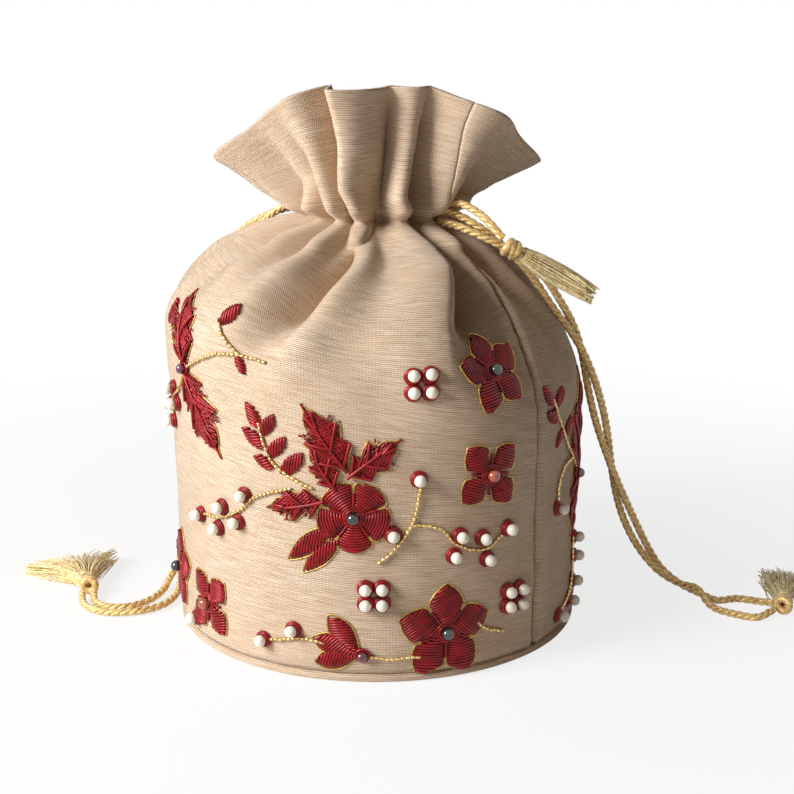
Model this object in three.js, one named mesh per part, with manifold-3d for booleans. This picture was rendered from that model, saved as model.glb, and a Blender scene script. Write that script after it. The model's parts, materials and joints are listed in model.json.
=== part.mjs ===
// Potli bag: a drawstring pouch of gathered silk tissue with a flat round base,
// a ruffle above the drawn neck, wire embroidery with pearls, and tasselled cords.
// Millimetres, +Z up. The origin is the middle of the base and the front faces -Y.
// Places on the cloth are [angle, height]: degrees from the front, positive to the
// right, and millimetres up the cloth from the base seam.
import * as THREE from 'three';
import { mergeVertices } from 'three/addons/utils/BufferGeometryUtils.js';
import Module from 'manifold-3d';

const wasm = await Module();
wasm.setup();

// Bag body
const BODY_RADIUS = 80;
const CLOTH = 1.4;
const FIT_GAP = 0.3;
const BASE_THICKNESS = 3;
const BASE_ROUND = 1;
const BOARD_THICKNESS = 2;
const BOARD_CLEARANCE = 0.8;
const SEAM_ANGLE = 48;

// Shoulder: where the wall turns in, how it leans from left to right, and its curve
const SHOULDER_HEIGHT = 105;
const SHOULDER_LEAN = 13;
const SHOULDER_RISE = 23.5;
const SHOULDER_FALL = 20.5;
const SHOULDER_FALL_LEAN = 7.6;
const SHOULDER_REACH = 29;
const NECK_RADIUS = 30;
const NECK_HEIGHT = 161;

// Ruffle: its length and lean from upright at the front, the sides and the back
const RUFFLE_LENGTH = 50;
const RUFFLE_SIDE_LOSS = 10;
const RUFFLE_LEAN_FRONT = 10;
const RUFFLE_LEAN_SIDE = 46;
const RUFFLE_LEAN_BACK = 16;
const RUFFLE_CURL = 1.3;

// Gathers: fold width in degrees and height at the neck, and how far the valleys sink
const NECK_FOLD_WIDTH = 6.5;
const NECK_FOLD = 17;
const NECK_SINK = 8;
const NECK_GRIP = 0.45;
const SHOULDER_SINK = 2.5;
const RIM_SINK = 5;

// Each gather: its angle at the neck, shoulder foot and rim, its width and height
// on the shoulder, and its width and height at the rim
const GATHERS = [
  [-12, -13, -6, 6, 1.5, 17, 11],
  [3, 0, 8, 5, 1, 8, 1],
  [22, -2, 25, 19, 7, 8, 4],
  [44, 51, 52, 13, 5, 14, 12],
  [66, 74, 82, 10, 4, 12, 12],
  [90, 94, 100, 10, 3.5, 8, 2],
  [114, 114, 116, 10, 4, 14, 12],
  [139, 138, 138, 9, 3.5, 8, 2],
  [163, 162, 157, 10, 4, 15, 12],
  [188, 187, 188, 9, 3.5, 8, 2],
  [213, 213, 208, 10, 4, 15, 12],
  [238, 239, 236, 9, 3.5, 8, 3],
  [262, 262, 256, 10, 4, 13, 12],
  [284, 282, 282, 9, 4, 11, 12],
  [304, 300, 303, 8, 4.5, 8, 3],
  [326, 320, 324, 7, 5.5, 10, 12],
];

// Embroidery: drawn in units that follow the body's radius, a millimetre each at this size
const UNIT = BODY_RADIUS / 80;
const PETAL_HEIGHT = 2 * UNIT;
const PETAL_TAPER = 0.3;
const PETAL_NOTCH = 0.5;
const LEAF_HEIGHT = 1.6 * UNIT;
const LEAF_SLIMNESS = 0.24;
const SMALL_LEAF = 15 * UNIT;
const LONG_LEAF = 25 * UNIT;
const BEAD_RADIUS = 2.6 * UNIT;
const BEAD_HEIGHT = 3.2 * UNIT;
const PEARL_RING_RADIUS = 3.5 * UNIT;
const PEARL_HEIGHT = 4.4 * UNIT;
const STEM_RADIUS = 1 * UNIT;
const STEM_LIFT = 0.35 * UNIT;
const CLUSTER_PITCH = 5.8 * UNIT;

// Cords, knots and tassels
const CORD_DIAMETER = 3.2;
const CORD_STEP = 13;
const TWIST_LENGTH = 112;
const TWIST_GAP = 0.8;
const KNOT_RADIUS = 4.2;
const KNOT_LIFT = 0.2;
const TASSEL_LENGTH = 34;
const TASSEL_HEAD = 3.4;
const TASSEL_SKIRT = 8;

// Resolution of the panels, as levels up the cloth and columns across a panel
const LEVELS = [0, 0.5, 0.9, 1.12, 1.32, 1.52, 1.72, 1.88, 2, 2.12, 2.36, 2.68, 3];
const COLUMNS = 34;
const ROUND_SIDES = 36;

const WALL_FOOT = BASE_THICKNESS + FIT_GAP;
const SHOULDER_SPEED = 3 * SHOULDER_RISE;
const HALF_TURN = 180;
const FULL_TURN = 360;

const COLOURS = {
  cloth: [0xc6a884, 0.55, 0.15],
  board: [0x9a8a74, 0.9, 0],
  wire: [0x962423, 0.4, 0.4],
  pearl: [0xf0e8d6, 0.3, 0],
  cord: [0xe2c286, 0.6, 0.2],
};

// Curve helpers
const radians = THREE.MathUtils.degToRad;
const clamp = THREE.MathUtils.clamp;
const ease = (value) => THREE.MathUtils.smoothstep(value, 0, 1);
const angleGap = (a, b) => THREE.MathUtils.euclideanModulo(a - b + HALF_TURN, FULL_TURN) - HALF_TURN;

function bezier(a, b, c, d, t) {
  const s = 1 - t;
  return s ** 3 * a + 3 * s * s * t * b + 3 * s * t * t * c + t ** 3 * d;
}

function shoulderStart(angle) {
  return SHOULDER_HEIGHT - SHOULDER_LEAN * Math.sin(radians(angle));
}

// Smooth outline of the bag at one angle, as radius and height.
// Levels 0 to 1 are the wall, 1 to 2 the shoulder and 2 to 3 the ruffle.
function outline(angle, level) {
  const turn = Math.sin(radians(angle));
  const start = shoulderStart(angle);
  if (level <= 1) {
    return new THREE.Vector2(BODY_RADIUS, WALL_FOOT + (start - WALL_FOOT) * level);
  }
  if (level <= 2) {
    const fall = SHOULDER_FALL + SHOULDER_FALL_LEAN * turn;
    const reach = NECK_RADIUS + SHOULDER_REACH - 2 * turn;
    return new THREE.Vector2(
      bezier(BODY_RADIUS, BODY_RADIUS, reach, NECK_RADIUS, level - 1),
      bezier(start, start + SHOULDER_RISE, NECK_HEIGHT - fall, NECK_HEIGHT, level - 1),
    );
  }
  const along = level - 2;
  const back = (1 - Math.cos(radians(angle))) / 2;
  const lean = radians(RUFFLE_LEAN_FRONT + RUFFLE_LEAN_SIDE * turn ** 4 + RUFFLE_LEAN_BACK * back);
  const length = RUFFLE_LENGTH - RUFFLE_SIDE_LOSS * turn ** 2;
  return new THREE.Vector2(
    NECK_RADIUS + length * Math.sin(lean) * along ** RUFFLE_CURL,
    NECK_HEIGHT + length * Math.cos(lean) * along,
  );
}

// Direction out of the smooth outline, turned level at the drawn neck
function outward(angle, level) {
  const step = 0.001;
  const below = outline(angle, Math.max(level - step, 0));
  const above = outline(angle, Math.min(level + step, LEVELS.at(-1)));
  const along = above.sub(below).normalize();
  const free = ease(Math.abs(level - 2) / NECK_GRIP);
  return new THREE.Vector2(1 + (along.y - 1) * free, -along.x * free).normalize();
}

// How far the gathered cloth stands off its smooth outline
function foldHeight(angle, level) {
  const up = clamp(level - 1, 0, 1);
  const out = clamp(level - 2, 0, 1);
  const grip = ease((level - 2) / NECK_GRIP + 1);
  const rise = ease((level - 0.85) / 0.55);
  let height = (NECK_SINK - RIM_SINK) * out - NECK_SINK * grip - SHOULDER_SINK * rise * (1 - grip);
  for (const [neck, foot, rim, footWidth, footHeight, rimWidth, rimHeight] of GATHERS) {
    const centre = foot + angleGap(neck, foot) * up ** 2 + angleGap(rim, neck) * out;
    const width = footWidth + (NECK_FOLD_WIDTH - footWidth) * up + (rimWidth - NECK_FOLD_WIDTH) * out;
    const crest = footHeight * rise + (NECK_FOLD - footHeight) * grip + (rimHeight - NECK_FOLD) * out;
    height += crest * Math.exp(-((angleGap(angle, centre) / width) ** 2));
  }
  return height;
}

// Point of the cloth's outer face, moved out by the given stand-off
function clothPoint(angle, level, standOff) {
  const out = outward(angle, level);
  const profile = outline(angle, level).addScaledVector(out, foldHeight(angle, level) + standOff);
  const turn = radians(angle);
  return new THREE.Vector3(profile.x * Math.sin(turn), -profile.x * Math.cos(turn), profile.y);
}

// Point over the cloth at a place given by angle and height up the cloth
function sewnPoint(angle, height, standOff) {
  const wall = shoulderStart(angle) - WALL_FOOT;
  const level = height < wall ? height / wall : 1 + (height - wall) / SHOULDER_SPEED;
  return clothPoint(angle, level, FIT_GAP + standOff);
}

// Closed mesh to solid and back
function solid(geometry) {
  const bare = geometry.clone();
  bare.deleteAttribute('normal');
  bare.deleteAttribute('uv');
  const merged = mergeVertices(bare, 1e-4);
  const index = merged.getIndex().array;
  const corners = [];
  for (let i = 0; i < index.length; i += 3) {
    const [a, b, c] = index.slice(i, i + 3);
    if (a !== b && b !== c && a !== c) {
      corners.push(a, b, c);
    }
  }
  const vertProperties = new Float32Array(merged.getAttribute('position').array);
  const triVerts = new Uint32Array(corners);
  return new wasm.Manifold(new wasm.Mesh({ numProp: 3, vertProperties, triVerts }));
}

function geometryOf(body) {
  const mesh = body.getMesh();
  const geometry = new THREE.BufferGeometry();
  geometry.setAttribute('position', new THREE.BufferAttribute(mesh.vertProperties, 3));
  geometry.setIndex(new THREE.BufferAttribute(mesh.triVerts, 1));
  geometry.computeVertexNormals();
  return geometry;
}

function moveVertices(geometry, place) {
  const position = geometry.getAttribute('position');
  for (let i = 0; i < position.count; i += 1) {
    const moved = place(new THREE.Vector3().fromBufferAttribute(position, i));
    position.setXYZ(i, moved.x, moved.y, moved.z);
  }
  return geometry;
}

const bag = new THREE.Group();

function addPart(name, geometry, finish) {
  const [color, roughness, metalness] = COLOURS[finish];
  const mesh = new THREE.Mesh(geometry, new THREE.MeshStandardMaterial({ color, roughness, metalness }));
  mesh.name = name;
  bag.add(mesh);
  return mesh;
}

// Cloth panels: flat slabs bent round the bag, from the base seam to the rim
function clothPanel(startAngle) {
  const rows = LEVELS.length - 1;
  const slab = new THREE.BoxGeometry(1, 1, 1, COLUMNS, rows, 1);
  const edge = THREE.MathUtils.radToDeg(FIT_GAP / (2 * NECK_RADIUS));
  return moveVertices(slab, ({ x, y, z }) => {
    const angle = startAngle + edge + (x + 0.5) * (HALF_TURN - 2 * edge);
    const level = LEVELS[Math.round((y + 0.5) * rows)];
    return clothPoint(angle, level, z > 0 ? 0 : -CLOTH);
  });
}
addPart('front_panel', geometryOf(solid(clothPanel(SEAM_ANGLE - HALF_TURN))), 'cloth');
addPart('back_panel', geometryOf(solid(clothPanel(SEAM_ANGLE))), 'cloth');

// Base cloth with its rolled edge, and the stiff board that lies on it
function disc(radius, thickness, round) {
  const profile = [
    new THREE.Vector2(0, 0),
    new THREE.Vector2(radius - round, 0),
    new THREE.Vector2(radius, round),
    new THREE.Vector2(radius, thickness),
    new THREE.Vector2(0, thickness),
  ];
  return new THREE.LatheGeometry(profile, ROUND_SIDES).rotateX(Math.PI / 2);
}
addPart('base_panel', geometryOf(solid(disc(BODY_RADIUS, BASE_THICKNESS, BASE_ROUND))), 'cloth');
const boardRadius = BODY_RADIUS - CLOTH - BOARD_CLEARANCE;
const board = new THREE.CylinderGeometry(boardRadius, boardRadius, BOARD_THICKNESS, ROUND_SIDES)
  .rotateX(Math.PI / 2)
  .translate(0, 0, WALL_FOOT + BOARD_THICKNESS / 2);
addPart('base_board', geometryOf(solid(board)), 'board');

// Embroidery shapes: a low dome of unit radius and height, laid on the cloth
function dome(profile, sides) {
  const points = profile.map(([radius, height]) => new THREE.Vector2(radius, height));
  return new THREE.LatheGeometry(points, sides).rotateX(Math.PI / 2);
}
const PETAL = [[0, 0], [1, 0], [0.8, 0.7], [0, 1]];
const FLOWER = [[0, 0], [1, 0], [0.84, 0.8], [0.22, 0.9], [0, 1.6]];
const LEAF = [[0, 0.25], [1, 0.25], [0.9, 0.6], [0, 1]];
const LONG_LEAF_FORM = [[0, 0.25], [0.5, 0.25], [1, 0.25], [0.9, 0.6], [0.5, 0.85], [0, 1]];
const PEARL = [[0, 0], [1, 0], [0.66, 0.7], [0, 1]];

// Lay a dome at a place, turned and scaled, after an optional change of its outline
function sewn(profile, sides, [angle, height], turn, size, reshape = (point) => point) {
  const shape = dome(profile, sides);
  const cos = Math.cos(radians(turn));
  const sin = Math.sin(radians(turn));
  return solid(moveVertices(shape, (point) => {
    const { x, y, z } = reshape(point);
    const along = x * size.x;
    const across = y * size.y;
    const right = along * cos - across * sin;
    const up = along * sin + across * cos;
    const step = THREE.MathUtils.radToDeg(right / BODY_RADIUS);
    return sewnPoint(angle + step, height + up, z * size.z);
  }));
}

// Distance in millimetres and direction in degrees between two places
function span([angleA, heightA], [angleB, heightB]) {
  const right = radians(angleB - angleA) * BODY_RADIUS;
  const up = heightB - heightA;
  return { length: Math.hypot(right, up), turn: THREE.MathUtils.radToDeg(Math.atan2(up, right)) };
}
function shifted([angle, height], turn, distance) {
  const step = THREE.MathUtils.radToDeg((distance * Math.cos(radians(turn))) / BODY_RADIUS);
  return [angle + step, height + distance * Math.sin(radians(turn))];
}

function bead(place) {
  return sewn(PEARL, 5, place, 0, new THREE.Vector3(BEAD_RADIUS, BEAD_RADIUS, BEAD_HEIGHT));
}
function pearl(place) {
  return sewn(PEARL, 5, place, 0, new THREE.Vector3(PEARL_RING_RADIUS, PEARL_RING_RADIUS, PEARL_HEIGHT));
}
function leaf(base, tip) {
  const { length, turn } = span(base, tip);
  const size = new THREE.Vector3(length / 2, length * LEAF_SLIMNESS, LEAF_HEIGHT);
  const sides = length < SMALL_LEAF ? 4 : 6;
  const form = length > LONG_LEAF ? LONG_LEAF_FORM : LEAF;
  return sewn(form, sides, shifted(base, turn, length / 2), turn, size);
}
function petal(centre, turn, reach) {
  const length = reach * UNIT;
  const size = new THREE.Vector3(length * 0.47, length * 0.34, PETAL_HEIGHT);
  const widen = ({ x, y, z }) => new THREE.Vector3(x, y * (1 + PETAL_TAPER * x), z);
  return sewn(PETAL, 6, shifted(centre, turn, length * 0.53), turn, size, widen);
}
function flower(centre, reach, petals, turn) {
  const radius = reach * UNIT;
  const lobed = (point) => {
    const lobe = Math.cos(petals * Math.atan2(point.y, point.x));
    const scale = 1 - PETAL_NOTCH * (1 - lobe) * Math.min(Math.hypot(point.x, point.y), 1) / 2;
    return new THREE.Vector3(point.x * scale, point.y * scale, point.z);
  };
  return sewn(FLOWER, 4 * petals, centre, turn, new THREE.Vector3(radius, radius, PETAL_HEIGHT), lobed);
}
function stem(places) {
  const points = places.map(([angle, height]) => sewnPoint(angle, height, STEM_RADIUS + STEM_LIFT));
  const section = new THREE.Shape();
  section.absarc(0, 0, STEM_RADIUS, 0, 2 * Math.PI);
  const path = new THREE.CatmullRomCurve3(points);
  const steps = places.length - 1;
  return solid(new THREE.ExtrudeGeometry(section, { steps, curveSegments: 2, extrudePath: path }));
}
function cluster(centre) {
  return [45, 135, 225, 315].map((turn) => pearl(shifted(centre, turn, CLUSTER_PITCH / Math.SQRT2)));
}

// The embroidered design of one panel
const DESIGN = {
  centre_spray: (at) => [
    flower(at(-6, 60), 12.5, 5, -90),
    leaf(at(-7, 68), at(-18, 99)),
    leaf(at(-9, 67), at(-20, 86)),
    leaf(at(-4, 69), at(7, 90)),
    leaf(at(-9.5, 62.5), at(-32, 56)),
    leaf(at(-12, 56), at(-23, 43)),
    leaf(at(-10, 53), at(-19, 39)),
  ],
  shoulder_flower: (at) => [flower(at(33, 112), 12, 5, 90)],
  side_flower: (at) => [flower(at(30, 73), 10.5, 4, 40)],
  base_spray: (at) => [
    flower(at(18, 13.5), 13, 5, 80),
    stem([at(25, 15), at(29, 13), at(36, 9)]),
    stem([at(-4, 8), at(2, 6), at(12, 8)]),
    bead(at(-4, 8)),
    petal(at(-4, 9), 120, 14),
    petal(at(-4, 9), 165, 15),
    petal(at(-4, 8), 200, 12),
    stem([at(-12, 11), at(-21, 13), at(-30, 10)]),
    pearl(at(-22.5, 15.5)),
    pearl(at(-31.5, 9.5)),
  ],
  left_flower: (at) => [flower(at(-53, 15), 10.5, 4, 45), pearl(at(-60, 6.5))],
  edge_flower: (at) => [flower(at(-76, 20), 12, 5, 90)],
  leaf_pair: (at) => [
    bead(at(-59, 106)),
    leaf(at(-59, 105), at(-65, 135)),
    leaf(at(-59, 107), at(-46, 78)),
    stem([at(-59, 106), at(-53, 110), at(-44, 115), at(-37, 116), at(-29, 115)]),
    stem([at(-37, 116), at(-41, 120.5), at(-43, 124), at(-44, 128)]),
    leaf(at(-44, 125), at(-39.5, 135)),
    leaf(at(-38, 116), at(-35, 109)),
    stem([at(-59, 106), at(-66, 112), at(-68, 116.5), at(-70, 121)]),
    leaf(at(-70, 119), at(-72, 129)),
    stem([at(-59, 106), at(-65, 96), at(-70, 91), at(-72, 84)]),
    pearl(at(-70, 95)),
    pearl(at(-67, 90)),
    pearl(at(-73, 88)),
    pearl(at(-72.5, 81.5)),
  ],
  leaf_sprig: (at) => [
    stem([at(-33, 95), at(-31, 86), at(-28, 80), at(-20, 73.5)]),
    leaf(at(-32.5, 93), at(-35.5, 100)),
    leaf(at(-32.5, 90), at(-28, 97)),
    leaf(at(-31, 86), at(-37.5, 92)),
    leaf(at(-30.5, 82.5), at(-25.5, 89)),
    leaf(at(-26.5, 77), at(-20.5, 84)),
    leaf(at(-28.5, 79.5), at(-34, 83)),
  ],
  pearl_branch_left: (at) => [
    stem([at(-54, 50), at(-45, 53), at(-38, 58), at(-33, 64), at(-23, 70.5)]),
    pearl(at(-36.5, 64)),
    pearl(at(-45, 57)),
    pearl(at(-56, 50)),
    pearl(at(-39, 54)),
    pearl(at(-47, 48.5)),
  ],
  pearl_branch_right: (at) => [
    stem([at(0, 43), at(5, 50), at(9, 58), at(11, 71)]),
    stem([at(9, 57), at(16, 55), at(20, 49), at(24, 46), at(29, 45), at(34, 49)]),
    pearl(at(10.5, 74)),
    pearl(at(5, 53.5)),
    pearl(at(21.5, 51)),
    pearl(at(28, 48.5)),
    pearl(at(36, 50)),
    pearl(at(20.5, 45.5)),
    pearl(at(29.5, 42)),
  ],
  pearl_cluster_upper: (at) => cluster(at(11, 108.5)),
  pearl_cluster_lower: (at) => cluster(at(-1, 31)),
  pearl_cluster_side: (at) => cluster(at(39, 23)),
  seam_sprig: (at) => [
    stem([at(-126, 95), at(-122, 86), at(-116, 76), at(-108, 66), at(-104, 60)]),
    leaf(at(-125, 93), at(-129, 100)),
    leaf(at(-124.5, 90), at(-119, 97)),
    leaf(at(-122, 86), at(-128, 90)),
    leaf(at(-119, 81), at(-122, 77)),
    leaf(at(-116.5, 76), at(-112, 83)),
    bead(at(-104, 58)),
    leaf(at(-104, 57), at(-99, 96)),
    leaf(at(-104, 59), at(-108, 36)),
    stem([at(-108, 66), at(-116, 65), at(-120, 60), at(-121, 53)]),
    pearl(at(-121, 50.5)),
  ],
  pearl_branch_seam: (at) => [
    stem([at(-105, 32), at(-106, 22), at(-111, 14), at(-119, 8)]),
    pearl(at(-103, 31)),
    pearl(at(-103.5, 23.5)),
    pearl(at(-107.5, 15)),
    pearl(at(-112, 9)),
    pearl(at(-120, 6.5)),
  ],
};

function addDesign(side, turn) {
  const at = (angle, height) => [angle + turn, height * UNIT];
  for (const [name, shapes] of Object.entries(DESIGN)) {
    const body = wasm.Manifold.union(shapes(at));
    addPart(`${side}_${name}`, geometryOf(body), name.startsWith('pearl') ? 'pearl' : 'wire');
  }
}
addDesign('front', 0);
addDesign('back', HALF_TURN);

// Cords: two strands twisted loosely round one line, then laid apart to the knot.
// Below the neck a cord moves out with the body.
function routed([x, y, z]) {
  const spread = BODY_RADIUS * (1 - 1 / UNIT);
  const low = clamp((NECK_HEIGHT - z) / NECK_RADIUS, 0, 1);
  return new THREE.Vector3(x + Math.sign(x) * spread * low, y, z);
}
function twisted(line, phase) {
  const curve = new THREE.CatmullRomCurve3(line.map(routed));
  const length = curve.getLength();
  const count = Math.round((2 * length) / CORD_STEP);
  const reach = (CORD_DIAMETER + TWIST_GAP) / 2;
  const backward = new THREE.Vector3(0, 1, 0);
  return Array.from({ length: count + 1 }, (_, i) => {
    const tangent = curve.getTangentAt(i / count);
    const side = new THREE.Vector3().crossVectors(tangent, backward).normalize();
    const above = new THREE.Vector3().crossVectors(side, tangent);
    const turn = (2 * Math.PI * length * (i / count)) / TWIST_LENGTH + phase;
    return curve.getPointAt(i / count)
      .addScaledVector(side, reach * Math.cos(turn))
      .addScaledVector(above, reach * Math.sin(turn));
  });
}
function cord(points) {
  const path = new THREE.CatmullRomCurve3(points);
  const section = new THREE.Shape();
  section.absarc(0, 0, CORD_DIAMETER / 2, 0, 2 * Math.PI);
  const steps = Math.round(path.getLength() / CORD_STEP);
  return new THREE.ExtrudeGeometry(section, { steps, curveSegments: 4, extrudePath: path });
}

const RIGHT_LINE = [
  [24, -17, 162], [30, -21, 161], [37, -24, 158], [44, -24, 154], [51, -22, 149], [57, -20, 144],
  [63, -17, 137], [69, -15, 128], [75, -12, 119], [80, -10, 109], [84, -8, 97], [88, -5, 83], [92, -2, 69],
  [96, 1, 55], [100, 3, 43], [105, 5, 31], [111, 6, 20], [118, 5, 11], [126, 2, 6], [132, -3, 5],
];
const RIGHT_TAILS = [
  [[136, -13, 2], [144, -21, 1.8], [152, -24, 1.8], [159.7, -19.3, 3.2]],
  [[139, -6, 2], [148, -4, 1.8], [156, -7, 1.8], [161.5, -13, 3.2]],
];
const LEFT_LINE = [
  [-21, 20.5, 163.5], [-28, 27, 162], [-37, 33, 159], [-46, 38, 154], [-55, 43, 147], [-62, 48, 138],
  [-68, 50, 127], [-71, 51, 114], [-73, 49, 99], [-75, 48, 82], [-78, 46, 65], [-79, 44, 48],
  [-80, 41, 32], [-82, 36, 18], [-85, 29, 8],
];
const LEFT_TAILS = [
  [[-83.5, 16, 2.6], [-84, 4, 1.8], [-87, -6, 1.8], [-94, -13, 1.8], [-103, -15.5, 1.8], [-112, -14.5, 1.8],
    [-120, -7, 1.8], [-122.8, 3.8, 3.2]],
  [[-89, 20, 2.2], [-90, 9, 1.8], [-94, -2, 1.8], [-101, -9, 1.8], [-109, -10, 1.8], [-116, -4, 1.8],
    [-118.2, 5, 3.2]],
];
const SHORT_LINE = [[27.5, -19.5, 167.5], [31, -22, 167.5], [37, -27, 165], [42, -31, 161], [46.5, -33, 156]];

function addPair(side, line, tails) {
  tails.forEach((tail, i) => {
    const points = [...twisted(line, i * Math.PI), ...tail.map(routed)];
    addPart(`${side}_strand_${'ab'[i]}`, geometryOf(solid(cord(points))), 'cord');
  });
}
addPair('right', RIGHT_LINE, RIGHT_TAILS);
addPair('left', LEFT_LINE, LEFT_TAILS);
addPart('shoulder_strand', geometryOf(solid(cord(SHORT_LINE.map(routed)))), 'cord');

// Knots and tassels: a bound head and a flaring skirt, flattened where it lies spread
function addTassel(side, knotAt, tip, spread) {
  const knot = new THREE.SphereGeometry(KNOT_RADIUS, 8, 5);
  const knotMesh = addPart(`${side}_knot`, geometryOf(solid(knot)), 'cord');
  const from = routed(knotAt);
  knotMesh.position.copy(from);
  const profile = [
    new THREE.Vector2(0, 0),
    new THREE.Vector2(TASSEL_HEAD * 0.8, 0),
    new THREE.Vector2(TASSEL_HEAD, TASSEL_HEAD),
    new THREE.Vector2(TASSEL_SKIRT, TASSEL_LENGTH),
    new THREE.Vector2(0, TASSEL_LENGTH),
  ];
  const skirt = new THREE.LatheGeometry(profile, 12).scale(spread, 1, TASSEL_HEAD / TASSEL_SKIRT);
  const mesh = addPart(`${side}_tassel`, geometryOf(solid(skirt)), 'cord');
  const along = routed(tip).sub(from).normalize();
  const across = new THREE.Vector3().crossVectors(along, new THREE.Vector3(0, 0, 1)).normalize();
  const above = new THREE.Vector3().crossVectors(across, along);
  mesh.quaternion.setFromRotationMatrix(new THREE.Matrix4().makeBasis(across, along, above));
  mesh.position.copy(from).addScaledVector(along, KNOT_RADIUS + FIT_GAP);
}
const knotHeight = KNOT_RADIUS + KNOT_LIFT;
addTassel('right', [164, -16.5, knotHeight], [173, 20, knotHeight], 1);
addTassel('left', [-121, 9, knotHeight], [-137, 44, knotHeight], 2.6);
addTassel('shoulder', [49.5, -33, 152.2], [84, -24, 133], 0.8);

export default bag;
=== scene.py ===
"""Looks of a potli bag: gathered silk tissue, wire and pearl embroidery, twisted cords with tassels.

Sizes in the tables are millimetres and degrees. Places on the cloth are (angle, height): degrees from the
front, positive to the right, and millimetres up the cloth from the base seam. Levels run 0 to 1 up the wall,
1 to 2 over the shoulder and 2 to 3 up the ruffle.
"""

import json
import math
import random

import bmesh
import bpy
import numpy as np
from mathutils import Matrix, Vector

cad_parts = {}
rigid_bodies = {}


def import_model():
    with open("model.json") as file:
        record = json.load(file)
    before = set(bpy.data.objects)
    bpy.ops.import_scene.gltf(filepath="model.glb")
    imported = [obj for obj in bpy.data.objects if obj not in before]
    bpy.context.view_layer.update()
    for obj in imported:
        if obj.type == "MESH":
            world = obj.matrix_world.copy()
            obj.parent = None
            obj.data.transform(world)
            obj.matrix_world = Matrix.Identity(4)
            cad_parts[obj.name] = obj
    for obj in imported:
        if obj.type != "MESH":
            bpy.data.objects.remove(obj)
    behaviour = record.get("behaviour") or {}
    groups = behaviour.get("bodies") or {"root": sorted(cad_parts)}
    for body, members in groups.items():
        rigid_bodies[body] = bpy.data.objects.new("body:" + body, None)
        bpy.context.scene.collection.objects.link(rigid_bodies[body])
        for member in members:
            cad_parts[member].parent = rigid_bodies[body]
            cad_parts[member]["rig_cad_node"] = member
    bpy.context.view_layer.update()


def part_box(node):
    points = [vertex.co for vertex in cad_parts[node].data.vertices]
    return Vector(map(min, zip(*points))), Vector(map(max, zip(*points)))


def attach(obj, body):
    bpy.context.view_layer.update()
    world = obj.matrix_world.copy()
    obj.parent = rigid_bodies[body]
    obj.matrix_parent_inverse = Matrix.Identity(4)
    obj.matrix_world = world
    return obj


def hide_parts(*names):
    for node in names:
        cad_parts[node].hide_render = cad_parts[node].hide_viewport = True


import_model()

bl_info = {
    "name": "Potli Bag",
    "version": (1, 0, 0),
    "blender": (4, 5, 0),
    "location": "View3D > Sidebar > Potli",
    "description": "Dresses the packed potli bag with cloth, embroidery and cords",
    "category": "Object",
}

MM = 0.001
BODY_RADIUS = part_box("base_panel")[1][0] / MM
BASE_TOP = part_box("base_panel")[1][2] / MM

# Cloth outline
CLOTH = 1.2
WALL_FOOT = BASE_TOP + 0.3
SEAM_ANGLE = 48
SHOULDER_HEIGHT = 105
SHOULDER_LEAN = 13
SHOULDER_RISE = 23.5
SHOULDER_FALL = 20.5
SHOULDER_FALL_LEAN = 7.6
SHOULDER_REACH = 29
SHOULDER_SPEED = 3 * SHOULDER_RISE
NECK_RADIUS = 30
NECK_HEIGHT = 161
NECK_SINK = 8
SHOULDER_SINK = 2.5
RIM_SINK = 7
NECK_PINCH = 3.5
LEFT_BULGE = 2.2

# Rim of the ruffle: angle, radius, height
RIM = [
    (-180, 45, 199),
    (-150, 50, 193),
    (-120, 58, 182),
    (-90, 59, 180),
    (-60, 52, 199),
    (-35, 45, 210.5),
    (0, 40, 210),
    (35, 45, 210),
    (60, 53, 200),
    (90, 60, 180),
    (120, 58, 182),
    (150, 50, 193),
    (180, 45, 199),
]

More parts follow.
